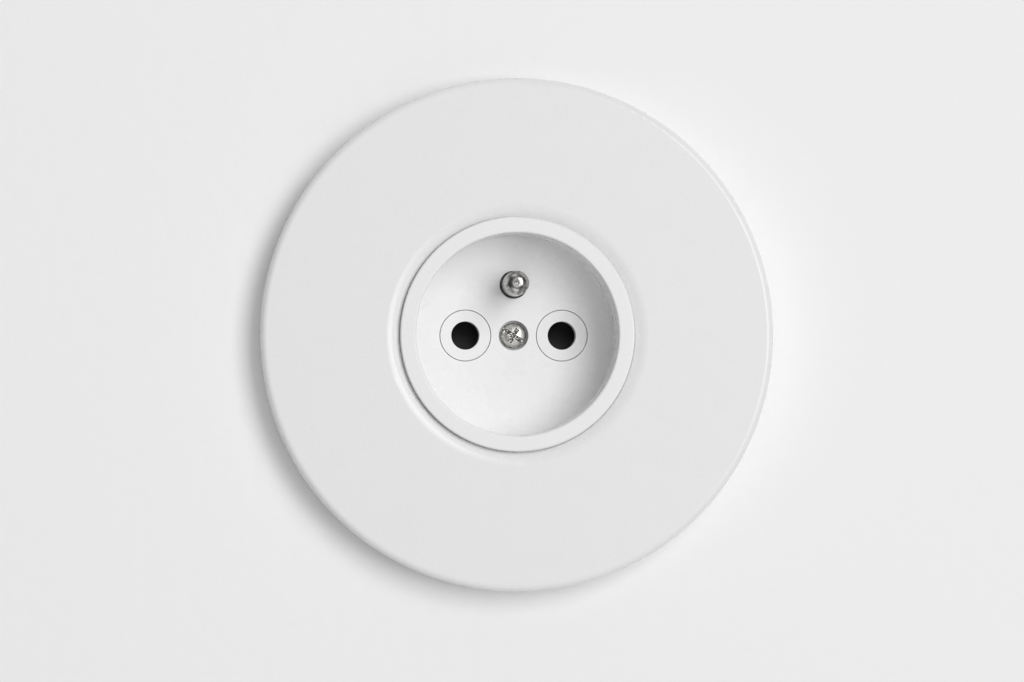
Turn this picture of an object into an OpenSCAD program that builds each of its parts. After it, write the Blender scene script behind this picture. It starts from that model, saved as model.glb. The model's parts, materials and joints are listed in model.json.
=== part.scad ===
// Round flush wall socket with a fixed earth pin, for a 60 mm wall box.
// Everything is drawn face on: x to the right, y up, z out of the wall, with the
// wall at z = 0 and the socket's axis at x = y = 0. face_on() then turns it, so
// that the wall is the plane Y = 0, the front faces -Y and +Z is up.

/* [Cover plate] */
// Diameter of the round cover plate
plate_d = 100; // [96:1:120]
// Height of the plate's face above the wall
plate_h = 7.8; // [7:0.1:9]
// Thickness of the plate's moulded shell
plate_wall = 2.4; // [1.8:0.1:2.6]
// Radius along the plate's outer front edge
plate_edge_r = 1.3; // [0.8:0.1:1.8]
// Radius that turns the face down into the hole
hole_edge_r = 3.4; // [2.8:0.1:4.4]
// Width of that turn, which ends as a slope at the hole
hole_edge_w = 2.5; // [1.8:0.1:2.7]
// Straight wall between that slope and the ledge
hole_land = 0.5; // [0.3:0.1:0.8]
// Play of the plate round the insert, on the radius
plate_play = 0.16; // [0.1:0.02:0.24]
// Gap left at the top, where the plate hangs on the insert
hang_gap = 0.06; // [0.04:0.01:0.1]
// Thickness of the collar round the plate's hole
collar_t = 2.4; // [1.6:0.1:3]
// Gap between the collar and the steel frame
collar_gap = 0.3; // [0.2:0.1:0.6]
// Number of ribs behind the plate
plate_ribs = 8; // [4:4:8]
// Thickness of those ribs
plate_rib_t = 1.2; // [0.8:0.1:2]

/* [Insert] */
// Inner diameter of the cup
cup_d = 39.5; // [39:0.1:40]
// Depth of the cup, from the rim to the floor
cup_depth = 15; // [14:0.5:16]
// Thickness of the cup's wall behind the rim
cup_wall = 1.6; // [1.2:0.1:1.7]
// Thickness of the cup's floor
cup_floor = 2; // [1.6:0.1:2.4]
// Small radius between the cup's wall and floor
cup_cove_r = 0.5; // [0.2:0.1:1]
// Width of the rim's flat face
rim_w = 3.1; // [2.8:0.1:3.3]
// How far the rim stands proud of the plate's face
rim_proud = 0.6; // [0.3:0.1:2]
// Radius on the rim's edges
rim_edge_r = 0.35; // [0.2:0.05:0.6]
// Width of the two keys on the insert's wall
key_w = 2; // [1.5:0.1:3]
// How far those keys stand out of the wall
key_h = 0.6; // [0.4:0.1:0.7]

/* [Pins] */
// Spacing of the two pin holes
pin_spacing = 19; // [18.6:0.1:19.4]
// Diameter of the pin holes
pin_hole_d = 5.6; // [5.2:0.1:5.9]
// Diameter of the pins that the contacts take
pin_d = 4.8; // [4.6:0.1:4.9]
// Diameter of the bosses that come up flush with the floor
boss_d = 9.9; // [9:0.1:10.2]
// Gap round each boss
boss_gap = 0.14; // [0.08:0.01:0.25]
// Height of the earth pin above the line of the holes
earth_y = 10; // [9.8:0.1:10.2]
// Diameter of the earth pin
earth_d = 4.8; // [4.6:0.1:5]
// Length of the earth pin above the floor
earth_l = 14; // [12:0.5:14.5]
// How far the earth pin's thicker root reaches past the pin, on the radius
earth_root = 0.2; // [0.1:0.05:0.3]
// Height of that root above the floor
root_rise = 0.2; // [0.1:0.05:0.4]
// Gap round the earth pin in the floor and the mechanism
earth_gap = 0.15; // [0.1:0.05:0.3]

/* [Centre screw] */
// Diameter of the screw's head
head_d = 5; // [4.6:0.1:5.4]
// Diameter of the recess round the head
recess_d = 5.9; // [5.6:0.1:6.4]
// Height of the head's straight side
head_side = 0.9; // [0.6:0.1:1.2]
// Rise of the head's raised top
head_rise = 0.8; // [0.4:0.1:1]
// How far the head's top lies below the floor
head_sink = 0.7; // [0.3:0.05:0.9]
// Diameter of the small screws' shanks
screw_d = 3; // [2.8:0.1:3.2]
// Angle at which the centre screw's slot came to stand
slot_angle = -32; // [-90:1:90]
// Size across the flats of the centre nut
nut_af = 5.5; // [5.3:0.1:6]
// Thickness of the centre nut
nut_t = 2.4; // [1.8:0.1:3]

/* [Mechanism] */
// How far the mechanism's round body reaches past the insert's wall
body_over = 1.65; // [1.4:0.05:1.9]
// How far the body's flat sides lie outside the insert's wall
flat_over = 0.15; // [0.05:0.05:0.3]
// Thickness of the wall between the insert and the shutter
front_wall = 2.7; // [2.4:0.1:3.2]
// Depth of the shutter's chamber
chamber_t = 4.5; // [4:0.1:5]
// Depth of the base from the chamber to the terminal strips
strip_depth = 10.5; // [9.5:0.1:12]
// Depth of the terminal wells at the back
well_depth = 5.2; // [5:0.1:6]
// Sideways distance of the screws that join front and base from the pin holes
housing_out = 7.1; // [6.9:0.1:7.3]
// Height of those screws above the line of the holes
housing_y = 4.2; // [4:0.1:4.6]
// Radius along the back edge of the body
back_edge_r = 1.2; // [0.6:0.1:1.6]
// Least wall round the core pockets in the back of the base
core_wall = 1.6; // [1.4:0.1:2]
// Depth of the two upper core pockets
core_depth = 11; // [8:0.5:12]
// Depth of the two lower core pockets, behind the frame's screw
low_core_depth = 8; // [5:0.5:8.5]
// Depth of the grooves down the body's rounded corners
groove_depth = 0.5; // [0.3:0.1:0.7]
// Gap round pieces that sit in pockets
pocket_gap = 0.2; // [0.1:0.05:0.25]
// Gap round screws in holes that hold them
thread_gap = 0.05; // [0.03:0.01:0.08]
// Gap round screws in holes that they pass through
clear_gap = 0.25; // [0.15:0.05:0.3]

/* [Shutter] */
// Travel of the shutter
shutter_travel = 6; // [5.8:0.1:6.2]
// Width of each of the shutter's blades
blade_w = 7.4; // [7:0.1:7.6]
// Height of the blades above the line of the holes
blade_top = 3.2; // [3:0.1:3.3]
// Depth of the bar that joins the blades
bridge_h = 3; // [2.4:0.1:3.4]
// Distance from the line of the holes down to that bar
bridge_y = 6.5; // [6.2:0.1:6.8]
// Outer diameter of the shutter's spring
spring_d = 3.6; // [3:0.1:3.8]
// Diameter of the spring's wire
spring_wire = 0.45; // [0.3:0.05:0.5]
// Number of turns in the spring
spring_turns = 6; // [4:1:7]
// Wall between the spring's end and the flat below it
spring_wall = 2.3; // [2:0.1:2.8]
// Least wall between the shutter's room and the outside of the body
room_wall = 1.2; // [1:0.1:1.6]

/* [Contacts] */
// Thickness of the contacts' leaves
leaf_t = 0.6; // [0.4:0.05:0.8]
// Gap between a leaf and the pin
leaf_gap = 0.05; // [0.03:0.01:0.1]
// Thickness of the terminal strips and the earth strap
strip_t = 1; // [0.8:0.1:1.2]
// Sideways distance of the line and neutral terminals from their pin holes
term_out = 4.1; // [3.9:0.1:4.3]
// Distance of those terminals below the line of the holes
term_y = 7; // [6.8:0.1:7.3]
// Size of the square of strip in each terminal
strip_w = 8.6; // [8.4:0.1:8.8]
// Size of each terminal's square well
well_w = 7.2; // [7:0.1:7.4]
// Width of the slot that lets a wire into its well
wire_w = 4.4; // [4.2:0.1:4.8]
// Diameter of the terminal screws' heads
term_head_d = 6; // [5.6:0.1:6.4]
// Diameter of the terminal screws' shanks
term_screw_d = 3.5; // [3.2:0.1:3.8]
// Thickness of the clamps under those heads
clamp_t = 1; // [0.8:0.1:1.2]
// Height of the flat screw heads
pan_h = 1.9; // [1.6:0.1:2.1]

/* [Frame and claws] */
// Width and height of the steel frame
frame_w = 71; // [70:1:72]
// Gap between the frame's corners and the inside of the plate
frame_margin = 3; // [1:0.5:6]
// Thickness of the frame's sheet
frame_t = 1; // [0.8:0.1:1.2]
// Length of the stiffening lip along each side of the frame
lip_w = 24; // [16:1:26]
// Height of those lips above the sheet
lip_h = 1.4; // [1:0.1:1.6]
// Diameter of the spare holes in the frame's corners
corner_hole_d = 3.6; // [3.2:0.1:4.2]
// Gap between the insert's wall and the frame
frame_gap = 1; // [0.7:0.1:1.1]
// Spacing of the wall box's screws
box_spacing = 60; // [59:1:61]
// Width of the slots for those screws
slot_w = 4.2; // [3.6:0.1:4.6]
// Length of those slots from end to end
slot_l = 6.6; // [5.6:0.1:7]
// Width of the frame's two legs
leg_w = 13; // [10:0.5:14]
// Gap between the insert's wall and a leg
leg_gap = 0.45; // [0.3:0.05:0.6]
// Distance from the insert's wall to the axes of the claw screws
claw_out = 3.65; // [3.5:0.05:4]
// Height of the claw screws above or below the axis
claw_y = 7; // [6.8:0.1:7.2]
// Depth to which the seats of the claw screws are set back
seat_drop = 3; // [2.8:0.1:3.6]
// Radius of the ball under a claw screw's head
ball_r = 3.3; // [3.1:0.05:3.4]
// Radius of the hole that the ball sits in
seat_r = 2.6; // [2.5:0.05:2.65]
// Gap between the ball and the edge of its hole
ball_gap = 0.1; // [0.05:0.01:0.15]
// Thickness of a claw's sheet
claw_t = 1; // [0.8:0.1:1.2]
// Width of a claw
claw_w = 7; // [6:0.5:7.5]
// Length of a claw
claw_l = 18; // [15:0.5:20]

/* [Hidden] */
$fn = 96;
cut = 0.1;

plate_r = plate_d / 2;
cup_r = cup_d / 2;
tube_r = cup_r + cup_wall;
rim_r = cup_r + rim_w;
hole_r = rim_r + plate_play;
ledge_r = tube_r + plate_play;
collar_r = hole_r + collar_t;
pin_x = pin_spacing / 2;
pin_r = pin_d / 2;
boss_r = boss_d / 2;
earth_r = earth_d / 2;
screw_r = screw_d / 2;
head_r = head_d / 2;
recess_r = recess_d / 2;
mech_r = tube_r + body_over;
root_r = earth_r + earth_root;
term_x = pin_x + term_out;
claw_x = tube_r + claw_out;
frame_r = plate_r - plate_wall - frame_margin;

// Heights above the wall, from the front to the back
rim_z = plate_h + rim_proud;
hole_edge_h = hole_edge_r - sqrt(hole_edge_r * hole_edge_r - hole_edge_w * hole_edge_w);
ledge_z = plate_h - hole_edge_h - hole_land;
collar_z = frame_t + collar_gap;
floor_z = rim_z - cup_depth;
body_z = floor_z - cup_floor;
head_z = floor_z - head_sink - head_rise - head_side;
recess_wall = 1.4;
recess_z = head_z - recess_wall;
chamber_z = body_z - front_wall;
split_z = chamber_z - chamber_t;
strip_z = split_z - strip_depth;
back_z = strip_z - well_depth;

// The body's flats, for the legs above and below and for the claws at the sides
leg_y = tube_r + leg_gap;
leg_t = frame_t;
side_flat = tube_r + flat_over;
leg_short = 3;
leg_screw_drop = 4;
leg_end_z = strip_z + leg_short;
leg_screw_z = split_z - leg_screw_drop;

// The shutter's outline and its room
blade_in = pin_x - blade_w / 2;
blade_out = pin_x + blade_w / 2;
shutter_low = bridge_y + bridge_h;
spring_end_y = leg_y - spring_wall;
spring_l = spring_end_y - shutter_low;
spring_channel = spring_d / 2 + 0.4;
peg_r = spring_d / 2 - spring_wire - 0.2;
peg_l = 1.4;
spring_z = chamber_z - chamber_t / 2;

// The contacts, from the axis of the pin outwards
leaf_in = pin_r + leaf_gap;
leaf_out = leaf_in + leaf_t;
lip_r = leaf_out + 0.5;
leaf_front_z = split_z - 0.8;
ring_h = 1;
clip_t = 0.6;
clip_h = 3;
clip_gap = 0.04;
contact_r = leaf_out + clip_gap + clip_t + 0.3;
strip_hole_r = pin_r + pocket_gap;
tip_room = 1.2;
collar_boss_r = term_screw_d / 2 + 1.1;
collar_boss_h = 1.4;

// The earth strap and the rivet end of its pin
strap_w = 8;
strap_flange_w = 10;
strap_tail = 4.4;
strap_low_y = earth_y - strap_tail;
strap_wall = 0.8;
strap_top_y = leg_y - strap_wall - pocket_gap;
earth_term_y = strap_top_y - strip_t - well_w / 2 - 0.4;
shoulder_r = root_r + 0.8;
shoulder_h = 1.5;
rivet_r = 1.5;
rivet_head_r = 2.9;
rivet_head_h = 0.8;

// Screws
pilot_r = screw_r + thread_gap;
clear_r = screw_r + clear_gap;
pan_r = 2.8;
term_r = term_screw_d / 2;
slot_cut_w = 0.9;
slot_cut_h = 0.8;
housing_x = pin_x + housing_out;
housing_sink = 2.6;
clamp_w = well_w - 0.6;
clamp_play = 0.3;

// The claws swing about the centre of the ball under their screw's head
seat_z = frame_t - seat_drop - frame_t;
ball_z = seat_z + sqrt((ball_r + ball_gap) * (ball_r + ball_gap) - seat_r * seat_r);
lug_half = claw_w / 2 + 1.1;
lug_out = claw_x + 4.6;
claw_plate_in = 1.7;
claw_front_z = seat_z - frame_t - 2.4;
claw_back_z = claw_front_z - claw_l;
claw_screw_end_z = claw_back_z + 1.6;

// Turns what is drawn face on so that it stands on the wall
module face_on() {
    rotate([90, 0, 0]) children();
}

// Draws its children on the right, and again on the left by half a turn
module half_turn(side) {
    rotate([0, 0, side > 0 ? 0 : 180]) children();
}

// Extrudes an outline of (y, z) points to a width along x, about x = 0
module across(width) {
    rotate([90, 0, 90]) linear_extrude(width, center = true) children();
}

// Extrudes an outline of (x, z) points to a width along y, about y = 0
module along(width) {
    rotate([90, 0, 0]) linear_extrude(width, center = true) children();
}

// Takes a corner at (x, z) off to radius r; sx and sz point out of the corner
module corner_cut(x, z, r, sx, sz) {
    s = r + cut;
    translate([x - sx * r, z - sz * r]) difference() {
        translate([min(0, sx * s), min(0, sz * s)]) square(s);
        circle(r);
    }
}

// Fills an inner corner at (x, z) with a cove of radius r; sx and sz point into the room
module corner_fill(x, z, r, sx, sz) {
    translate([x, z]) difference() {
        translate([min(-sx * cut, sx * r), min(-sz * cut, sz * r)]) square(r + cut);
        translate([sx * r, sz * r]) circle(r);
    }
}

// A rectangle between two corners
module box2(x0, y0, x1, y1) {
    translate([x0, y0]) square([x1 - x0, y1 - y0]);
}

// A block between two corners
module box3(x0, y0, z0, x1, y1, z1) {
    translate([x0, y0, z0]) cube([x1 - x0, y1 - y0, z1 - z0]);
}

// A cylinder between two heights
module rod(r, z0, z1) {
    translate([0, 0, z0]) cylinder(r = r, h = z1 - z0);
}

// The drive in a screw's head: a full slot and a shorter cross arm
module combi_drive(r, top_z) {
    slot_z = top_z - slot_cut_h;
    box3(-r - cut, -slot_cut_w / 2, slot_z, r + cut, slot_cut_w / 2, top_z + cut);
    box3(-slot_cut_w / 2, -r * 0.62, slot_z - 0.3, slot_cut_w / 2, r * 0.62, top_z + cut);
    box3(-r * 0.62, -slot_cut_w / 2, slot_z - 0.3, r * 0.62, slot_cut_w / 2, top_z + cut);
}

// A screw whose head has a straight side and a domed top; z0 is under the head
module domed_screw(r, shank_r, z0, side_h, rise, end_z) {
    dome_r = (r * r + rise * rise) / (2 * rise);
    top_z = z0 + side_h + rise;
    difference() {
        rotate_extrude() {
            intersection() {
                box2(0, z0, r, top_z + cut);
                translate([0, top_z - dome_r]) circle(dome_r);
            }
            difference() {
                box2(0, end_z, shank_r, z0 + cut);
                corner_point(shank_r, end_z, 0.5);
            }
        }
        combi_drive(r, top_z);
    }
}

// The bevel on the end of a shank
module corner_point(r, z, bevel) {
    polygon([[r - bevel, z - cut], [r + cut, z - cut], [r + cut, z + bevel], [r, z + bevel]]);
}

// Cover plate: one turned section, hollow behind, with ribs between its walls and a
// ledge inside its collar, which the insert's rim rests on
module cover_plate() {
    under_z = plate_h - plate_wall;
    rib_z = frame_t + lip_h + 2 * pocket_gap;
    color("whitesmoke") face_on() translate([0, hang_gap - plate_play, 0]) {
        rotate_extrude($fn = 180) difference() {
            box2(ledge_r, 0, plate_r, plate_h);
            box2(0, ledge_z, hole_r, plate_h + cut);
            box2(0, -cut, collar_r, collar_z);
            box2(0, -cut, hole_r, ledge_z - plate_wall);
            box2(collar_r, -cut, plate_r - plate_wall, under_z);
            corner_cut(plate_r, plate_h, plate_edge_r, 1, 1);
            corner_cut(hole_r + hole_edge_w - hole_edge_r, plate_h, hole_edge_r, -1, 1);
            corner_cut(ledge_r, ledge_z, 0.3, -1, 1);
        }
        for (k = [0 : plate_ribs - 1]) {
            rotate((k + 0.5) * 360 / plate_ribs) {
                box3(collar_r - 0.4, -plate_rib_t / 2, rib_z,
                    plate_r - plate_wall + 0.4, plate_rib_t / 2, under_z + 0.4);
            }
        }
    }
}

// Insert: rim, cup, floor, screw recess and two keys for the frame in one moulding
module socket_insert() {
    color("white") face_on() difference() {
        union() {
            rotate_extrude($fn = 180) {
                difference() {
                    box2(cup_r, ledge_z, rim_r, rim_z);
                    corner_cut(rim_r, rim_z, rim_edge_r, 1, 1);
                    corner_cut(cup_r, rim_z, rim_edge_r, -1, 1);
                }
                box2(cup_r, body_z, tube_r, ledge_z + cut);
                box2(0, body_z, tube_r, floor_z);
                corner_fill(cup_r, floor_z, cup_cove_r, -1, 1);
                box2(0, recess_z, recess_r + recess_wall, body_z + cut);
            }
            for (side = [-1, 1]) {
                half_turn(side) box3(tube_r - cup_wall / 2, -key_w / 2, body_z,
                    tube_r + key_h, key_w / 2, collar_z - collar_gap - frame_t / 2);
            }
        }
        rod(recess_r, head_z, floor_z + cut);
        rod(clear_r, recess_z - cut, floor_z);
        for (side = [-1, 1]) {
            translate([side * pin_x, 0, 0]) rod(boss_r + boss_gap, body_z - cut, floor_z + cut);
        }
        translate([0, earth_y, 0]) rod(root_r + earth_gap, body_z - cut, floor_z + cut);
    }
}

// Centre screw, seated in the insert's recess
module centre_screw() {
    color("silver") face_on() rotate(slot_angle) {
        domed_screw(head_r, screw_r, head_z, head_side, head_rise, split_z - nut_t - 3);
    }
}

// Hexagon nut held in the face of the base
module centre_nut() {
    color("goldenrod") face_on() difference() {
        translate([0, 0, split_z - nut_t]) cylinder(d = nut_af / cos(30), h = nut_t, $fn = 6);
        rod(pilot_r, split_z - nut_t - cut, split_z + cut);
    }
}

// Section of the mechanism's body, turned and then cut to its four flats
module body_flats(z0, z1) {
    translate([0, 0, z0 - cut]) linear_extrude(z1 - z0 + 2 * cut) {
        square([2 * side_flat, 2 * leg_y], center = true);
    }
}

// Room for the shutter, over its whole travel
module shutter_room() {
    low = shutter_low + shutter_travel + pocket_gap;
    for (side = [-1, 1]) {
        x0 = side > 0 ? blade_in - pocket_gap : -blade_out - pocket_gap;
        box2(x0, -low, x0 + blade_w + 2 * pocket_gap, blade_top + pocket_gap);
    }
    box2(-blade_out - pocket_gap, -low, blade_out + pocket_gap, -bridge_y + pocket_gap);
}

// Front of the mechanism: the bosses outside, the shutter's chamber inside
module mechanism_front() {
    color("white") face_on() {
        difference() {
            union() {
                intersection() {
                    rotate_extrude() difference() {
                        box2(0, split_z, mech_r, body_z);
                        corner_cut(mech_r, body_z, 0.5, 1, 1);
                    }
                    body_flats(split_z, body_z);
                }
                for (side = [-1, 1]) {
                    translate([side * pin_x, 0, 0]) rod(boss_r, body_z - cut, floor_z);
                }
            }
            translate([0, 0, split_z - cut]) linear_extrude(chamber_t + cut) {
                intersection() {
                    shutter_room();
                    circle(mech_r - room_wall);
                }
                box2(-spring_channel, -spring_end_y, spring_channel, -bridge_y);
            }
            for (side = [-1, 1]) {
                translate([side * pin_x, 0, 0]) rod(pin_hole_d / 2, chamber_z - cut, floor_z + cut);
                translate([side * housing_x, housing_y, 0]) rod(pilot_r, split_z - cut, chamber_z);
            }
            translate([0, earth_y, 0]) {
                rod(root_r + earth_gap, split_z - cut, body_z + cut);
                rod(shoulder_r + earth_gap, split_z - cut, split_z + shoulder_h);
            }
            rod(recess_r + recess_wall + pocket_gap, recess_z - pocket_gap, body_z + cut);
            rod(clear_r, split_z - cut, body_z);
        }
        translate([0, -spring_end_y - cut, spring_z]) rotate([-90, 0, 0]) {
            cylinder(r = peg_r, h = peg_l + cut);
        }
    }
}

// Shutter: two ramped blades joined by a bar below, with a peg for its spring
module shutter() {
    rear_z = split_z + pocket_gap;
    front_z = chamber_z - pocket_gap;
    lip = 0.8;
    ramp_y = -blade_top;
    color("#1c1c1e") face_on() {
        intersection() {
            union() {
                for (side = [-1, 1]) {
                    translate([side * pin_x, 0, 0]) across(blade_w) {
                        polygon([[-shutter_low, rear_z], [blade_top, rear_z],
                            [blade_top, rear_z + lip], [ramp_y, front_z],
                            [-shutter_low, front_z]]);
                    }
                }
                box3(-pin_x, -shutter_low, rear_z, pin_x, -bridge_y, front_z);
            }
            translate([0, shutter_travel, 0]) {
                rod(mech_r - room_wall - pocket_gap, rear_z - cut, front_z + cut);
            }
        }
        translate([0, -shutter_low - peg_l, spring_z]) rotate([-90, 0, 0]) {
            cylinder(r = peg_r, h = peg_l + cut);
        }
    }
}

// A wire of radius r wound to radius coil_r along z, from 0 to length
module coil(coil_r, r, length, turns) {
    sides = 8;
    rings = turns * 14;
    points = [for (i = [0 : rings], j = [0 : sides - 1])
        let (a = 360 * turns * i / rings, b = 360 * j / sides, reach = coil_r + r * cos(b))
        [reach * cos(a), reach * sin(a), r + (length - 2 * r) * i / rings + r * sin(b)]];
    walls = [for (i = [0 : rings - 1], j = [0 : sides - 1])
        let (k = (j + 1) % sides)
        [i * sides + j, i * sides + k, (i + 1) * sides + k, (i + 1) * sides + j]];
    first = [for (j = [0 : sides - 1]) sides - 1 - j];
    last = [for (j = [0 : sides - 1]) rings * sides + j];
    polyhedron(points, concat(walls, [first, last]), convexity = 10);
}

// Spring below the shutter, standing on the chamber's end
module shutter_spring() {
    color("gainsboro") face_on() translate([0, -spring_end_y, spring_z]) rotate([-90, 0, 0]) {
        coil(spring_d / 2 - spring_wire / 2, spring_wire / 2, spring_l, spring_turns);
    }
}

// Outline of a terminal strip, for the contact on the given side
module strip_outline(side, grow) {
    translate([side * pin_x, 0]) circle(contact_r + grow);
    translate([side * term_x, -term_y]) square(strip_w + 2 * grow, center = true);
}

// Base: contact pockets in front, terminal wells behind
module mechanism_base() {
    wire_z = strip_z - 0.5;
    color("ivory") face_on() difference() {
        intersection() {
            rotate_extrude() difference() {
                box2(0, back_z, mech_r, split_z);
                corner_cut(mech_r, back_z, back_edge_r, 1, -1);
            }
            body_flats(back_z, split_z);
        }
        for (side = [-1, 1]) {
            translate([0, 0, strip_z]) linear_extrude(strip_depth + cut) {
                strip_outline(side, pocket_gap);
            }
            translate([side * pin_x, 0, 0]) rod(strip_hole_r, strip_z - tip_room, strip_z + cut);
            translate([side * term_x, -term_y, back_z - cut]) linear_extrude(well_depth + 2 * cut) {
                square(well_w, center = true);
            }
            box3(side * term_x - wire_w / 2, -mech_r, back_z - cut,
                side * term_x + wire_w / 2, -term_y, wire_z);
            translate([side * housing_x, housing_y, 0]) {
                rod(clear_r, back_z, split_z + cut);
                rod(pan_r + clear_gap, back_z - cut, back_z + housing_sink);
            }
        }
        earth_room(wire_z);
        core_pockets();
        corner_grooves();
        translate([0, 0, split_z - nut_t - thread_gap]) {
            cylinder(d = (nut_af + 2 * thread_gap) / cos(30), h = nut_t + 1, $fn = 6);
        }
        rod(clear_r, split_z - nut_t - 4, split_z);
        translate([0, 0, leg_screw_z]) rotate([90, 0, 0]) {
            translate([0, 0, -leg_y - cut]) cylinder(r = clear_r, h = leg_y - strap_top_y + 1);
            translate([0, 0, leg_y - 6]) cylinder(r = pilot_r, h = 6 + cut);
        }
    }
}

// Pockets in the back of the base, which keep its walls even
module core_pockets() {
    in_x = well_w / 2 + core_wall;
    low_y = housing_y + pan_r + clear_gap + core_wall;
    out_x = term_x - wire_w / 2 - core_wall;
    strip_y = term_y + strip_w / 2 + pocket_gap + core_wall;
    for (side = [-1, 1]) {
        x0 = side > 0 ? in_x : -mech_r;
        linear_extrude_at(back_z - cut, core_depth + cut) intersection() {
            circle(mech_r - core_wall);
            box2(x0, low_y, x0 + mech_r - in_x, leg_y - core_wall);
        }
        x1 = side > 0 ? core_wall / 2 : -out_x;
        linear_extrude_at(back_z - cut, low_core_depth + cut) intersection() {
            circle(mech_r - core_wall);
            box2(x1, core_wall - leg_y, x1 + out_x - core_wall / 2, -strip_y);
        }
    }
}

// Grooves down the four rounded corners of the base
module corner_grooves() {
    r = 0.9;
    first = 46;
    step = 8;
    for (q = [0 : 90 : 270], k = [-2 : 2]) {
        rotate(q + first + k * step) translate([mech_r - groove_depth + r, 0, 0]) {
            rod(r, back_z - cut, split_z + cut, $fn = 24);
        }
    }
}

// Room in the base for the earth strap and for its terminal
module earth_room(wire_z) {
    top_y = strap_top_y + pocket_gap;
    box3(-strap_flange_w / 2 - pocket_gap, strap_low_y - pocket_gap, split_z - strip_t,
        strap_flange_w / 2 + pocket_gap, top_y, split_z + cut);
    box3(-strap_w / 2 - pocket_gap, strap_low_y - pocket_gap, strip_z,
        strap_w / 2 + pocket_gap, top_y, split_z + cut);
    translate([0, earth_term_y, back_z - cut]) linear_extrude(well_depth + 2 * cut) {
        square(well_w, center = true);
    }
    box3(-wire_w / 2, earth_term_y, back_z - cut, wire_w / 2, mech_r, wire_z);
}

// Earth pin with its domed and dimpled tip, shoulder and rivet
module earth_pin() {
    tip_z = floor_z + earth_l;
    color("silver") face_on() translate([0, earth_y, 0]) rotate_extrude() {
        difference() {
            box2(0, split_z, earth_r, tip_z);
            corner_cut(earth_r, tip_z, earth_r - 0.5, 1, 1);
            translate([0, tip_z + 0.25]) circle(0.45, $fn = 32);
        }
        box2(0, split_z, root_r, floor_z + root_rise);
        box2(0, split_z, shoulder_r, split_z + shoulder_h - earth_gap);
        box2(0, split_z - strip_t - rivet_head_h, rivet_r, split_z + cut);
        difference() {
            box2(0, split_z - strip_t - rivet_head_h, rivet_head_r, split_z - strip_t);
            corner_cut(rivet_head_r, split_z - strip_t - rivet_head_h, 0.6, 1, -1);
        }
    }
}

// Hole and raised collar of a terminal, at x = y = 0; z is the strip's back face
module terminal_hole(z) {
    rod(term_r + thread_gap, z - cut, z + strip_t + collar_boss_h + cut);
}

module terminal_collar(z) {
    rod(collar_boss_r, z + strip_t - cut, z + strip_t + collar_boss_h);
}

// Earth strap: a sheet bent twice, from the pin to its terminal
module earth_strap() {
    lip_y = earth_term_y - well_w / 2;
    color("darkgoldenrod") face_on() difference() {
        union() {
            across(strap_w) {
                difference() {
                    box2(strap_low_y, strip_z, strap_top_y, split_z);
                    box2(-1, strip_z + strip_t, strap_top_y - strip_t, split_z - strip_t);
                    box2(-1, strip_z - cut, lip_y, split_z - strip_t);
                    corner_cut(strap_top_y, split_z, strip_t, 1, 1);
                    corner_cut(strap_top_y, strip_z, strip_t, 1, -1);
                }
            }
            box3(-strap_flange_w / 2, strap_low_y, split_z - strip_t,
                strap_flange_w / 2, earth_y + 4, split_z);
            translate([0, earth_term_y, 0]) terminal_collar(strip_z);
        }
        translate([0, earth_y, 0]) rod(rivet_r, split_z - strip_t - cut, split_z + cut);
        translate([0, earth_term_y, 0]) terminal_hole(strip_z);
        translate([0, strap_top_y - strip_t - cut, leg_screw_z]) rotate([-90, 0, 0]) {
            cylinder(r = pilot_r, h = strip_t + 2 * cut);
        }
    }
}

// Contact: a split, sprung socket that grips the pin, on its terminal strip
module contact(side) {
    color("peru") face_on() {
        difference() {
            linear_extrude_at(strip_z, strip_t) {
                strip_outline(side, 0);
            }
            translate([side * pin_x, 0, 0]) rod(strip_hole_r, strip_z - cut, strip_z + strip_t + cut);
            translate([side * term_x, -term_y, 0]) terminal_hole(strip_z);
        }
        translate([side * term_x, -term_y, 0]) difference() {
            terminal_collar(strip_z);
            terminal_hole(strip_z);
        }
        translate([side * pin_x, 0, 0]) difference() {
            rotate_extrude() {
                box2(leaf_in, strip_z + strip_t - cut, leaf_out, leaf_front_z);
                polygon([[leaf_in, leaf_front_z - 1.4], [leaf_out, leaf_front_z - 1.4],
                    [lip_r, leaf_front_z], [lip_r - leaf_t, leaf_front_z]]);
            }
            box3(-0.6, -lip_r - cut, strip_z + strip_t + ring_h, 0.6, lip_r + cut, leaf_front_z + cut);
            rotate_extrude() polygon([[0, leaf_front_z - 1.4], [leaf_in, leaf_front_z - 1.4],
                [lip_r - leaf_t, leaf_front_z + cut], [0, leaf_front_z + cut]]);
        }
    }
}

// Extrudes an outline by h, from height z
module linear_extrude_at(z, h) {
    translate([0, 0, z]) linear_extrude(h) children();
}

// Open steel ring that closes the contact's leaves on the pin
module contact_clip(side) {
    opening = 50;
    z0 = (strip_z + strip_t + leaf_front_z) / 2;
    color("lightsteelblue") face_on() translate([side * pin_x, 0, 0]) {
        rotate(opening / 2) rotate_extrude(angle = 360 - opening) {
            box2(leaf_out + clip_gap, z0 - clip_h / 2, leaf_out + clip_gap + clip_t, z0 + clip_h / 2);
        }
    }
}

// Places its children at the three terminals
module at_terminals() {
    for (p = [[-term_x, -term_y], [term_x, -term_y], [0, earth_term_y]]) {
        translate(p) children();
    }
}

// Square clamps that press the wires against the strips
module terminal_clamps() {
    z1 = strip_z - clamp_play;
    color("silver") face_on() at_terminals() difference() {
        linear_extrude_at(z1 - clamp_t, clamp_t) square(clamp_w, center = true);
        rod(term_r + clear_gap, z1 - clamp_t - cut, z1 + cut);
    }
}

// Terminal screws, heads to the back
module terminal_screws() {
    under_z = strip_z - clamp_play - clamp_t;
    color("gainsboro") face_on() at_terminals() mirror([0, 0, 1]) {
        domed_screw(term_head_d / 2, term_r, -under_z, pan_h - 0.4, 0.4,
            -strip_z - strip_t - collar_boss_h - 0.6);
    }
}

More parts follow.
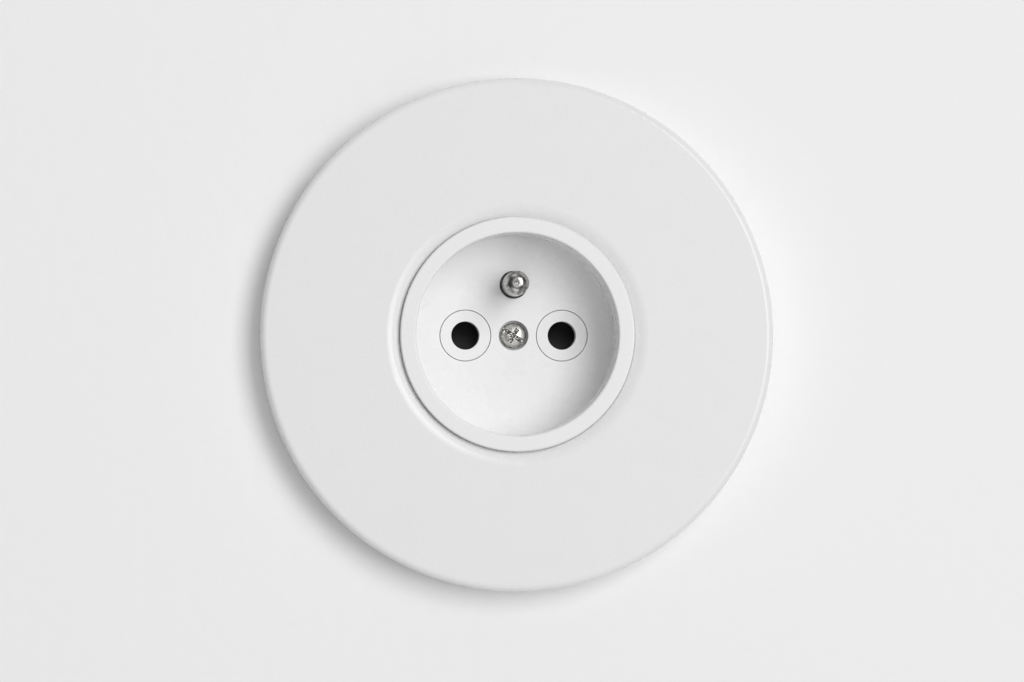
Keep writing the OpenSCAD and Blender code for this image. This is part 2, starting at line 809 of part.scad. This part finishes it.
// Screws that hold the front and the base together, from the back
module housing_screws() {
    under_z = back_z + housing_sink;
    color("gainsboro") face_on() for (side = [-1, 1]) {
        translate([side * housing_x, housing_y, 0]) rotate(side * 25) mirror([0, 0, 1]) {
            domed_screw(pan_r, screw_r, -under_z, pan_h - 0.4, 0.4, -chamber_z + 0.6);
        }
    }
}

// Slot for a box screw, along x
module box_slot() {
    half = (slot_l - slot_w) / 2;
    for (s = [-1, 1]) {
        translate([s * half, 0, -cut]) cylinder(r = slot_w / 2, h = frame_t + 2 * cut);
    }
    box3(-half, -slot_w / 2, -cut, half, slot_w / 2, frame_t + cut);
}

// Frame: a sheet ring with stiffening lips, two legs bent back and two set-back seats
// for the claws
module support_frame() {
    opening_r = tube_r + frame_gap;
    corner_inset = 2;
    color("lightslategray") face_on() difference() {
        union() {
            linear_extrude(frame_t) difference() {
                intersection() {
                    square(frame_w, center = true);
                    circle(frame_r);
                }
                circle(opening_r);
                claw_windows();
            }
            for (s = [0, 180]) {
                rotate(s) frame_leg();
            }
            for (a = [0 : 90 : 270]) {
                rotate(a) box3(-lip_w / 2, frame_w / 2 - frame_t, 0, lip_w / 2, frame_w / 2,
                    frame_t + lip_h);
            }
            for (side = [-1, 1]) {
                half_turn(side) claw_lug(opening_r);
            }
        }
        for (a = [0 : 90 : 270]) {
            rotate(a) translate([box_spacing / 2, 0, 0]) box_slot();
            rotate(a + 45) translate([frame_r - corner_hole_d - corner_inset, 0, 0]) {
                rod(corner_hole_d / 2, -cut, frame_t + cut);
            }
        }
        for (side = [-1, 1]) {
            half_turn(side) translate([claw_x, claw_y, 0]) rod(seat_r, seat_z - frame_t - cut, seat_z + cut);
        }
    }
}

// Windows over the claws' seats
module claw_windows() {
    for (side = [-1, 1]) {
        half_turn(side) box2(tube_r - 3, claw_y - lug_half, lug_out - frame_t, claw_y + lug_half);
    }
}

// A leg: the sheet bent back along the mechanism
module frame_leg() {
    difference() {
        across(leg_w) difference() {
            box2(leg_y, leg_end_z, leg_y + leg_t + 2, frame_t);
            box2(leg_y + leg_t, leg_end_z - cut, leg_y + leg_t + 2 + cut, 0);
            corner_cut(leg_y, frame_t, 0.8, -1, 1);
        }
        translate([0, leg_y - cut, leg_screw_z]) rotate([-90, 0, 0]) {
            cylinder(r = clear_r, h = leg_t + 2 * cut);
        }
    }
}

// A seat for a claw's screw, set back from the sheet
module claw_lug(opening_r) {
    translate([0, claw_y, 0]) difference() {
        along(2 * lug_half) difference() {
            box2(opening_r - 1.2, seat_z - frame_t, lug_out, frame_t);
            box2(0, seat_z, lug_out - frame_t, frame_t + cut);
            corner_cut(lug_out, seat_z - frame_t, frame_t, 1, -1);
        }
        translate([0, -claw_y, seat_z - frame_t - cut]) cylinder(r = opening_r - 0.4, h = 3);
    }
}

// Screws that hold the frame's legs, above and below
module frame_screws() {
    color("gainsboro") face_on() for (s = [0, 180]) {
        translate([0, 0, leg_screw_z]) rotate([0, 0, s]) rotate([-90, 0, 0]) rotate(20) {
            domed_screw(pan_r, screw_r, leg_y + leg_t, pan_h - 0.4, 0.4, leg_y - 4.6);
        }
    }
}

// Claw: a bent sheet threaded on its screw, with teeth at its far end
module claw(side) {
    out_x = claw_plate_in + claw_t;
    tab_in = -screw_r - 1.2;
    tail_z = claw_back_z - 3;
    guide_z = claw_back_z + 3.4;
    color("darkgray") face_on() half_turn(side) translate([claw_x, claw_y, 0]) difference() {
        union() {
            along(claw_w) {
                difference() {
                    union() {
                        box2(tab_in, claw_front_z - claw_t, out_x, claw_front_z);
                        box2(claw_plate_in, claw_back_z, out_x, claw_front_z);
                        box2(tab_in, guide_z - claw_t, out_x, guide_z);
                    }
                    corner_cut(out_x, claw_front_z, claw_t, 1, 1);
                }
            }
            along(claw_w - 2.2) polygon([[claw_plate_in, claw_back_z + cut], [out_x, claw_back_z + cut],
                [out_x + 0.8, tail_z], [out_x - 0.1, tail_z]]);
        }
        rod(pilot_r, claw_front_z - claw_t - cut, claw_front_z + cut);
        rod(clear_r, guide_z - claw_t - cut, guide_z + cut);
        for (k = [-1, 1]) {
            translate([out_x, k * 1.2, tail_z]) rotate([45, 0, 0]) cube([6, 1.1, 1.1], center = true);
        }
    }
}

// Claw screw: the underside of its head is a ball, so that it can tilt in its seat
module claw_screw(side) {
    top_z = ball_z + 0.5;
    neck_z = ball_z - sqrt(ball_r * ball_r - screw_r * screw_r);
    color("gainsboro") face_on() half_turn(side) translate([claw_x, claw_y, 0]) {
        difference() {
            rotate_extrude() {
                intersection() {
                    translate([0, ball_z]) circle(ball_r);
                    box2(0, neck_z, ball_r, top_z);
                }
                difference() {
                    box2(0, claw_screw_end_z, screw_r, neck_z + 0.4);
                    corner_point(screw_r, claw_screw_end_z, 0.5);
                }
            }
            translate([0, 0, top_z - slot_cut_h]) rotate(60) {
                box3(-ball_r - cut, -slot_cut_w / 2, 0, ball_r + cut, slot_cut_w / 2, slot_cut_h + cut);
            }
        }
    }
}

cover_plate();
socket_insert();
centre_screw();
centre_nut();
mechanism_front();
shutter();
shutter_spring();
mechanism_base();
earth_pin();
earth_strap();
contact(-1);  // left_contact
contact(1);  // right_contact
contact_clip(-1);  // left_contact_clip
contact_clip(1);  // right_contact_clip
terminal_clamps();
terminal_screws();
housing_screws();
support_frame();
frame_screws();
claw(-1);  // left_claw
claw(1);  // right_claw
claw_screw(-1);  // left_claw_screw
claw_screw(1);  // right_claw_screw
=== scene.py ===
# Looks of the flush wall socket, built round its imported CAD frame. Lengths are in metres.
import json
import math

import bpy
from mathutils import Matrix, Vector


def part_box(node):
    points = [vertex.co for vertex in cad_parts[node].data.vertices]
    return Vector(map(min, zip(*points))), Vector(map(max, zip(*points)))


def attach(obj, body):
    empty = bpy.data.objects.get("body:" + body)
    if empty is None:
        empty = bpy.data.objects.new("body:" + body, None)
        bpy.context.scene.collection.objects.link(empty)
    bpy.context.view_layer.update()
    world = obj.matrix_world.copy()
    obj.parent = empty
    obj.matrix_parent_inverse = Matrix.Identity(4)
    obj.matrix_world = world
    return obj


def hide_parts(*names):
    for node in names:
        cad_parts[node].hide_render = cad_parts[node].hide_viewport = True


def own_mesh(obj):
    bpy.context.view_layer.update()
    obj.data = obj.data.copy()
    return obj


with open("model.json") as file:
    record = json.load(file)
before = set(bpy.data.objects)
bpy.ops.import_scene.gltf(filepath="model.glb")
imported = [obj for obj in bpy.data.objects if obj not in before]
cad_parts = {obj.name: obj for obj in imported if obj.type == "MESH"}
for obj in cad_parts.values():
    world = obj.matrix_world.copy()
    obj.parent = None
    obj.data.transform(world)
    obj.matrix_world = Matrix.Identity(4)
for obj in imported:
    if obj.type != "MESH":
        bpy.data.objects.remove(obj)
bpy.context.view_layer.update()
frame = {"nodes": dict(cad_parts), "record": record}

# The photograph's frame, and where the middle of the insert's rim lies in it
IMAGE_W = 1024
IMAGE_H = 682
RIM_PIXEL = (517.8, 334.0)
PIXELS_PER_METRE = 5145.0

# The camera stands a little to the left of the socket's axis and a little below it
CAMERA_AZIMUTH = math.radians(-3.1)
CAMERA_ELEVATION = math.radians(-1.1)
CAMERA_DISTANCE = 1.2
CAMERA_NEAR = 0.05
CAMERA_FAR = 20.0
SENSOR_W = 0.036

# The key light is a tall soft box to the right. Bearings are degrees to the right of the
# wall's normal, and heights are degrees above the horizontal.
KEY_BEARING = 25
KEY_HEIGHT = 12
KEY_DISTANCE = 2.6
KEY_SIZE = (1.2, 2.0)
KEY_POWER = 39.0

# The world's light: its level at the sides, its level behind and how far back that is
# reached, then its lobes, each with a bearing, a height, a sharpness and a strength
WORLD_BASE = 0.075
WORLD_BEHIND = 0.8
WORLD_BEHIND_FROM = 0.4
WORLD_LOBES = [(-8.0, 4.5, 12.0, 0.72), (-10.0, 62.0, 8.0, 0.85), (-8.0, -52.0, 8.0, 1.0),
               (49.0, -21.0, 8.0, 0.35)]

# The wall ends under the plate's foot, so that views from behind show the hollow plate
WALL_HOLE_R = 0.0495
WALL_R = 2.0
WALL_STEPS = 96
WALL_COLOUR = (0.94, 0.94, 0.94)
WALL_GRAIN_SCALE = 260.0
WALL_GRAIN_DEPTH = 0.00012

# Moulded plastic: its refraction, the darkest share of its colour, and the scales of its
# shade, its gloss and its grain
PLASTIC_IOR = 1.49
PLASTIC_DARKEST = 0.985
PLASTIC_SHADE_SCALE = 60.0
PLASTIC_GLOSS_SCALE = 220.0
PLASTIC_GLOSS_SPREAD = 0.05
PLASTIC_GRAIN_SCALE = 4500.0

# Metal: how the gloss varies, and how much the edge of a painted dark ring wavers
METAL_SMOOTHEST = 0.6
METAL_ROUGHEST = 1.5
METAL_GLOSS_SCALE = 0.3
RING_WAVER_SCALE = 900.0
RING_WAVER = 0.00012

# The earth pin's axis, the painted dark rings on its tip that stand in for its reflections,
# each with an inner radius, an outer radius and the share of the colour left, and how far
# behind the tip its colour darkens towards the floor
PIN_AXIS = (0.0, 0.0, 0.01)
PIN_PAINTED_REFLECTION_RINGS = [(0.0004, 0.0007, 0.5), (0.0007, 0.0016, 0.4)]
PIN_DARKEN_FROM = 0.006
PIN_DARKEN_TO = 0.012
PIN_DARKEN_SHARE = 0.2

# The same for the centre screw's head: a painted dark ring at its edge, which stands in for
# the shade in the gap round the head, and painted shade with grime that deepens into its
# drive, broken by specks left bright
HEAD_AXIS = (0.0, 0.0, 0.0)
HEAD_PAINTED_SHADE_RINGS = [(0.00235, 0.0027, 0.6)]
DRIVE_SHADE_AND_GRIME_FROM = 0.00045
DRIVE_SHADE_AND_GRIME_TO = 0.0008
DRIVE_SHADE_AND_GRIME_SHARE = 0.06
DRIVE_SPECK_SCALE = 3200.0

# Claw screws: the shank, and where the thread begins and how far from the end it stops
SCREW_R = 0.0015
CLAW_THREAD_FROM = 0.0052
CLAW_THREAD_END = 0.0009
CLAW_THREAD_PITCH = 0.0005
CLAW_THREAD_HEIGHT = 0.00011

# A thread's ridge: points to a turn, the half widths of its root and its crest as shares
# of the pitch, and how far the root lies inside the shank
THREAD_STEPS = 24
THREAD_ROOT = 0.38
THREAD_CREST = 0.06
THREAD_SUNK = 0.00002

rim_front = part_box("socket_insert")[0][1]
rim_centre = Vector((0.0, rim_front, 0.0))


# Shader helpers

def math_node(nodes, links, operation, *inputs):
    node = nodes.new("ShaderNodeMath")
    node.operation = operation
    for socket, value in zip(node.inputs, inputs):
        if isinstance(value, float):
            socket.default_value = value
        else:
            links.new(value, socket)
    return node.outputs["Value"]


def spread(nodes, links, source, low, high):
    """Maps a texture's 0 to 1 on to low to high."""
    ramp = nodes.new("ShaderNodeMapRange")
    ramp.inputs["To Min"].default_value = low
    ramp.inputs["To Max"].default_value = high
    links.new(source, ramp.inputs["Value"])
    return ramp.outputs["Result"]


def smooth_step(nodes, links, source, low, high, start=0.0, end=1.0):
    """Turns smoothly from start to end while source goes from low to high."""
    ramp = nodes.new("ShaderNodeMapRange")
    ramp.interpolation_type = "SMOOTHSTEP"
    ramp.inputs["From Min"].default_value = low
    ramp.inputs["From Max"].default_value = high
    ramp.inputs["To Min"].default_value = start
    ramp.inputs["To Max"].default_value = end
    links.new(source, ramp.inputs["Value"])
    return ramp.outputs["Result"]


def object_place(nodes):
    return nodes.new("ShaderNodeTexCoord").outputs["Object"]


def object_noise(nodes, links, scale, detail):
    noise = nodes.new("ShaderNodeTexNoise")
    noise.inputs["Scale"].default_value = scale
    noise.inputs["Detail"].default_value = detail
    links.new(object_place(nodes), noise.inputs["Vector"])
    return noise.outputs["Fac"]


def mix_colours(nodes, links, amount, first, second):
    """Sets the base colour to first where amount is 0 and to second where it is 1."""
    mix = nodes.new("ShaderNodeMix")
    mix.data_type = "RGBA"
    mix.inputs["A"].default_value = (*first, 1.0)
    mix.inputs["B"].default_value = (*second, 1.0)
    links.new(amount, mix.inputs["Factor"])
    links.new(mix.outputs["Result"], nodes["Principled BSDF"].inputs["Base Color"])


def darken(nodes, links, amount, share):
    """Takes the base colour down to share of itself where amount is 1."""
    colour = nodes["Principled BSDF"].inputs["Base Color"]
    shade = nodes.new("ShaderNodeMix")
    shade.data_type = "RGBA"
    shade.blend_type = "MULTIPLY"
    shade.inputs["B"].default_value = (share, share, share, 1.0)
    links.new(amount, shade.inputs["Factor"])
    links.new(colour.links[0].from_socket, shade.inputs["A"])
    links.new(shade.outputs["Result"], colour)


def add_bump(nodes, links, height, distance):
    bump = nodes.new("ShaderNodeBump")
    bump.inputs["Strength"].default_value = 1.0
    bump.inputs["Distance"].default_value = distance
    links.new(height, bump.inputs["Height"])
    links.new(bump.outputs["Normal"], nodes["Principled BSDF"].inputs["Normal"])


# Camera and light

def add_camera():
    camera = bpy.data.objects.new("camera", bpy.data.cameras.new("camera"))
    bpy.context.collection.objects.link(camera)
    level = math.cos(CAMERA_ELEVATION)
    ahead = Vector((-math.sin(CAMERA_AZIMUTH) * level, math.cos(CAMERA_AZIMUTH) * level,
                    -math.sin(CAMERA_ELEVATION)))
    right = ahead.cross(Vector((0.0, 0.0, 1.0))).normalized()
    up = right.cross(ahead)
    offset_x = (IMAGE_W / 2 - RIM_PIXEL[0]) / PIXELS_PER_METRE
    offset_y = (RIM_PIXEL[1] - IMAGE_H / 2) / PIXELS_PER_METRE
    target = rim_centre + right * offset_x + up * offset_y
    camera.location = target - ahead * CAMERA_DISTANCE
    camera.rotation_euler = ahead.to_track_quat("-Z", "Y").to_euler()
    camera.data.sensor_width = SENSOR_W * 1000
    camera.data.lens = PIXELS_PER_METRE * CAMERA_DISTANCE * SENSOR_W * 1000 / IMAGE_W
    camera.data.clip_start = CAMERA_NEAR
    camera.data.clip_end = CAMERA_FAR
    bpy.context.scene.camera = camera


def direction(bearing, height):
    a = math.radians(bearing)
    h = math.radians(height)
    return Vector((math.sin(a) * math.cos(h), -math.cos(a) * math.cos(h), math.sin(h)))


def add_key_light():
    """A soft box aimed at the middle of the socket."""
    light = bpy.data.lights.new("key", "AREA")
    light.shape = "RECTANGLE"
    light.size = KEY_SIZE[0]
    light.size_y = KEY_SIZE[1]
    light.energy = KEY_POWER
    holder = bpy.data.objects.new("key", light)
    bpy.context.collection.objects.link(holder)
    away = direction(KEY_BEARING, KEY_HEIGHT)
    holder.location = rim_centre + away * KEY_DISTANCE
    holder.rotation_euler = (-away).to_track_quat("-Z", "Y").to_euler()


def set_world():
    """Soft grey light from the front, from above, from below and from the lower right,
    with little from the sides. Behind the wall it is even, for the views from there."""
    world = bpy.data.worlds.new("studio")
    world.use_nodes = True
    bpy.context.scene.world = world
    nodes = world.node_tree.nodes
    links = world.node_tree.links
    place = nodes.new("ShaderNodeTexCoord").outputs["Generated"]
    parts = nodes.new("ShaderNodeSeparateXYZ")
    links.new(place, parts.inputs["Vector"])
    total = smooth_step(nodes, links, parts.outputs["Y"], 0.0, WORLD_BEHIND_FROM,
                        WORLD_BASE, WORLD_BEHIND)
    for bearing, height, sharpness, strength in WORLD_LOBES:
        dot = nodes.new("ShaderNodeVectorMath")
        dot.operation = "DOT_PRODUCT"
        dot.inputs[1].default_value = direction(bearing, height)
        links.new(place, dot.inputs[0])
        facing = math_node(nodes, links, "MAXIMUM", dot.outputs["Value"], 0.0)
        lobe = math_node(nodes, links, "POWER", facing, sharpness)
        total = math_node(nodes, links, "MULTIPLY_ADD", lobe, strength, total)
    links.new(total, nodes["Background"].inputs["Color"])


add_camera()
set_world()
add_key_light()
bpy.context.scene.view_settings.view_transform = "Standard"


# Materials

def node_material(name):
    material = bpy.data.materials.new(name)
    material.use_nodes = True
    return material, material.node_tree.nodes, material.node_tree.links


def plastic(name, colour, roughness, grain_depth):
    """Moulded plastic: a fine grain, slow waves in the gloss and a trace of shade."""
    material, nodes, links = node_material(name)
    shader = nodes["Principled BSDF"]
    shader.inputs["IOR"].default_value = PLASTIC_IOR
    mix_colours(nodes, links, object_noise(nodes, links, PLASTIC_SHADE_SCALE, 2.0),
                [c * PLASTIC_DARKEST for c in colour], colour)
    gloss = object_noise(nodes, links, PLASTIC_GLOSS_SCALE, 3.0)
    links.new(spread(nodes, links, gloss, roughness - PLASTIC_GLOSS_SPREAD,
                     roughness + PLASTIC_GLOSS_SPREAD), shader.inputs["Roughness"])
    add_bump(nodes, links, object_noise(nodes, links, PLASTIC_GRAIN_SCALE, 4.0), grain_depth)
    return material


def metal(name, colour, roughness, grain_depth, grain_scale=2500.0, tarnish=0.85,
          spots=700.0):
    """Plated or bare metal: uneven gloss, fine marks, and duller spots that take the
    colour down to the share named by tarnish."""
    material, nodes, links = node_material(name)
    shader = nodes["Principled BSDF"]
    shader.inputs["Metallic"].default_value = 1.0
    dull = smooth_step(nodes, links, object_noise(nodes, links, spots, 5.0), 0.42, 0.62)
    mix_colours(nodes, links, dull, colour, [c * tarnish for c in colour])
    gloss = object_noise(nodes, links, grain_scale * METAL_GLOSS_SCALE, 4.0)
    links.new(spread(nodes, links, gloss, roughness * METAL_SMOOTHEST,
                     roughness * METAL_ROUGHEST), shader.inputs["Roughness"])
    add_bump(nodes, links, object_noise(nodes, links, grain_scale, 5.0), grain_depth)
    return material


def add_painted_rings(material, centre, bands):
    """Darkens metal in rings about an axis along Y through centre: painted shade and painted
    reflection on turned metal.
    """
    nodes = material.node_tree.nodes
    links = material.node_tree.links
    offset = nodes.new("ShaderNodeVectorMath")
    offset.operation = "SUBTRACT"
    offset.inputs[1].default_value = centre
    links.new(object_place(nodes), offset.inputs[0])
    flat = nodes.new("ShaderNodeVectorMath")
    flat.operation = "MULTIPLY"
    flat.inputs[1].default_value = (1.0, 0.0, 1.0)
    links.new(offset.outputs["Vector"], flat.inputs[0])
    length = nodes.new("ShaderNodeVectorMath")
    length.operation = "LENGTH"
    links.new(flat.outputs["Vector"], length.inputs[0])
    waver = spread(nodes, links, object_noise(nodes, links, RING_WAVER_SCALE, 2.0),
                   -RING_WAVER, RING_WAVER)
    radius = math_node(nodes, links, "ADD", length.outputs["Value"], waver)
    for inner, outer, share in bands:
        middle = (inner + outer) / 2
        rise = smooth_step(nodes, links, radius, inner, middle)
        fall = smooth_step(nodes, links, radius, middle, outer, 1.0, 0.0)
        darken(nodes, links, math_node(nodes, links, "MULTIPLY", rise, fall), share)


def darken_along_depth(material, y0, y1, share, speck_scale=None):
    """Darkens metal along Y, from none at y0 to the share named at y1. With a speck_scale
    it leaves bright specks of that scale."""
    nodes = material.node_tree.nodes
    links = material.node_tree.links
    parts = nodes.new("ShaderNodeSeparateXYZ")
    links.new(object_place(nodes), parts.inputs["Vector"])
    amount = smooth_step(nodes, links, parts.outputs["Y"], y0, y1)
    # Used for painted shade with grime deep in the screw's drive
    if speck_scale is not None:
        between_specks = smooth_step(nodes, links, object_noise(nodes, links, speck_scale, 2.0),
                            0.5, 0.62, 1.0, 0.0)
        amount = math_node(nodes, links, "MULTIPLY", amount, between_specks)
    darken(nodes, links, amount, share)


def wall_material():
    """Pale wall that shows from the front only, so that the mechanism shows from behind."""
    material, nodes, links = node_material("wall_paint")
    shader = nodes["Principled BSDF"]
    shader.inputs["Base Color"].default_value = (*WALL_COLOUR, 1.0)
    shader.inputs["Roughness"].default_value = 0.8
    shader.inputs["Specular IOR Level"].default_value = 0.2
    add_bump(nodes, links, object_noise(nodes, links, WALL_GRAIN_SCALE, 6.0),
             WALL_GRAIN_DEPTH)
    geometry = nodes.new("ShaderNodeNewGeometry")
    clear = nodes.new("ShaderNodeBsdfTransparent")
    choose = nodes.new("ShaderNodeMixShader")
    links.new(geometry.outputs["Backfacing"], choose.inputs["Fac"])
    links.new(shader.outputs["BSDF"], choose.inputs[1])
    links.new(clear.outputs["BSDF"], choose.inputs[2])
    links.new(choose.outputs["Shader"], nodes["Material Output"].inputs["Surface"])
    return material


MATERIALS = {
    "plate_white": plastic("plate_white", (0.865, 0.865, 0.865), 0.28, 0.000002),
    "insert_white": plastic("insert_white", (0.9, 0.9, 0.9), 0.28, 0.000003),
    "mechanism_white": plastic("mechanism_white", (0.88, 0.88, 0.88), 0.35, 0.000004),
    "shutter_black": plastic("shutter_black", (0.012, 0.012, 0.013), 0.45, 0.000006),
    "base_plastic": plastic("base_plastic", (0.68, 0.66, 0.6), 0.5, 0.000006),
    "plated_screw": metal("plated_screw", (0.66, 0.65, 0.62), 0.24, 0.000008),
    "nickel_pin": metal("nickel_pin", (0.72, 0.71, 0.69), 0.2, 0.00002, 1800.0,
                        tarnish=0.4, spots=1300.0),
    "contact_brass": metal("contact_brass", (0.78, 0.56, 0.27), 0.26, 0.000004),
    "zinc_steel": metal("zinc_steel", (0.6, 0.62, 0.65), 0.3, 0.000006, 900.0),
    "spring_steel": metal("spring_steel", (0.5, 0.5, 0.5), 0.25, 0.000004),
}

# Painted dark rings stand in for the reflections on the pin's tip, and its colour darkens
# towards the floor
add_painted_rings(MATERIALS["nickel_pin"], PIN_AXIS, PIN_PAINTED_REFLECTION_RINGS)
pin_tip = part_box("earth_pin")[0][1]
darken_along_depth(MATERIALS["nickel_pin"], pin_tip + PIN_DARKEN_FROM, pin_tip + PIN_DARKEN_TO,
                  PIN_DARKEN_SHARE)

# The centre screw has been turned often, so that its drive is burred and grimy. A painted
# dark ring at the head's edge stands in for the shade round it, and the drive darkens with
# depth as painted shade with grime.
WORN_AND_SHADED_HEAD = metal("worn_and_shaded_screw_head", (0.85, 0.84, 0.81), 0.3, 0.00002, 3000.0,
                  tarnish=0.7, spots=2500.0)
add_painted_rings(WORN_AND_SHADED_HEAD, HEAD_AXIS, HEAD_PAINTED_SHADE_RINGS)
head_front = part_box("centre_screw")[0][1]
darken_along_depth(WORN_AND_SHADED_HEAD, head_front + DRIVE_SHADE_AND_GRIME_FROM, head_front + DRIVE_SHADE_AND_GRIME_TO,
                  DRIVE_SHADE_AND_GRIME_SHARE, DRIVE_SPECK_SCALE)


def dress_nodes():
    for part in frame["record"]["subparts"]:
        mesh = frame["nodes"][part["node"]].data
        mesh.materials.clear()
        mesh.materials.append(MATERIALS[part["material_slot"]])
    screw = frame["nodes"]["centre_screw"].data
    screw.materials.clear()
    screw.materials.append(WORN_AND_SHADED_HEAD)


def add_wall():
    """The wall as a wide ring round a hole that the plate hides."""
    rings = []
    for radius in (WALL_HOLE_R, WALL_R):
        for i in range(WALL_STEPS):
            a = 2 * math.pi * i / WALL_STEPS
            rings.append((radius * math.cos(a), 0.0, radius * math.sin(a)))
    faces = []
    for i in range(WALL_STEPS):
        j = (i + 1) % WALL_STEPS
        faces.append((i, WALL_STEPS + i, WALL_STEPS + j, j))
    mesh = bpy.data.meshes.new("wall")
    mesh.from_pydata(rings, [], faces)
    wall = bpy.data.objects.new("wall", mesh)
    bpy.context.collection.objects.link(wall)
    mesh.materials.append(wall_material())


# Modelled details

def new_object(name, vertices, faces, material_slot, body):
    mesh = bpy.data.meshes.new(name)
    mesh.from_pydata(vertices, [], faces)
    mesh.materials.append(MATERIALS[material_slot])
    obj = bpy.data.objects.new(name, mesh)
    bpy.context.collection.objects.link(obj)
    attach(obj, body)
    return obj


def add_thread(name, x, z, shank_r, y0, y1, pitch, height, material_slot, body):
    """A thread's ridge wound along Y round the axis at (x, z)."""
    steps = int(round((y1 - y0) / pitch * THREAD_STEPS))
    profile = [(-THREAD_ROOT * pitch, -THREAD_SUNK), (-THREAD_CREST * pitch, height),
               (THREAD_CREST * pitch, height), (THREAD_ROOT * pitch, -THREAD_SUNK)]
    corners = len(profile)
    vertices = []
    for i in range(steps + 1):
        a = 2 * math.pi * i / THREAD_STEPS
        middle = y0 + (y1 - y0) * i / steps
        run_out = min(1.0, i / THREAD_STEPS, (steps - i) / THREAD_STEPS)
        for along, out in profile:
            r = shank_r + (out if out < 0 else out * run_out)
            vertices.append((x + r * math.cos(a), middle + along, z + r * math.sin(a)))
    faces = []
    for i in range(0, steps * corners, corners):
        for j in range(corners):
            k = (j + 1) % corners
            faces.append((i + j, i + k, i + corners + k, i + corners + j))
    faces.append(tuple(reversed(range(corners))))
    faces.append(tuple(steps * corners + j for j in range(corners)))
    return new_object(name, vertices, faces, material_slot, body)


def add_claw_threads():
    for side in ("left", "right"):
        low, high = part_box(side + "_claw_screw")
        add_thread(side + "_claw_screw_thread", (low.x + high.x) / 2, (low.z + high.z) / 2,
                   SCREW_R, CLAW_THREAD_FROM, high.y - CLAW_THREAD_END, CLAW_THREAD_PITCH,
                   CLAW_THREAD_HEIGHT, "plated_screw", side + "_claw")


def add_shutter_spring():
    """A copy of the shutter's spring, attached to the socket in place of the imported one.
    """
    spring = bpy.data.objects.new("shutter_spring_coil",
                                  frame["nodes"]["shutter_spring"].data.copy())
    bpy.context.collection.objects.link(spring)
    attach(spring, "socket")
    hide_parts("shutter_spring")
    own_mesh(spring)


dress_nodes()
add_claw_threads()
add_shutter_spring()
add_wall()
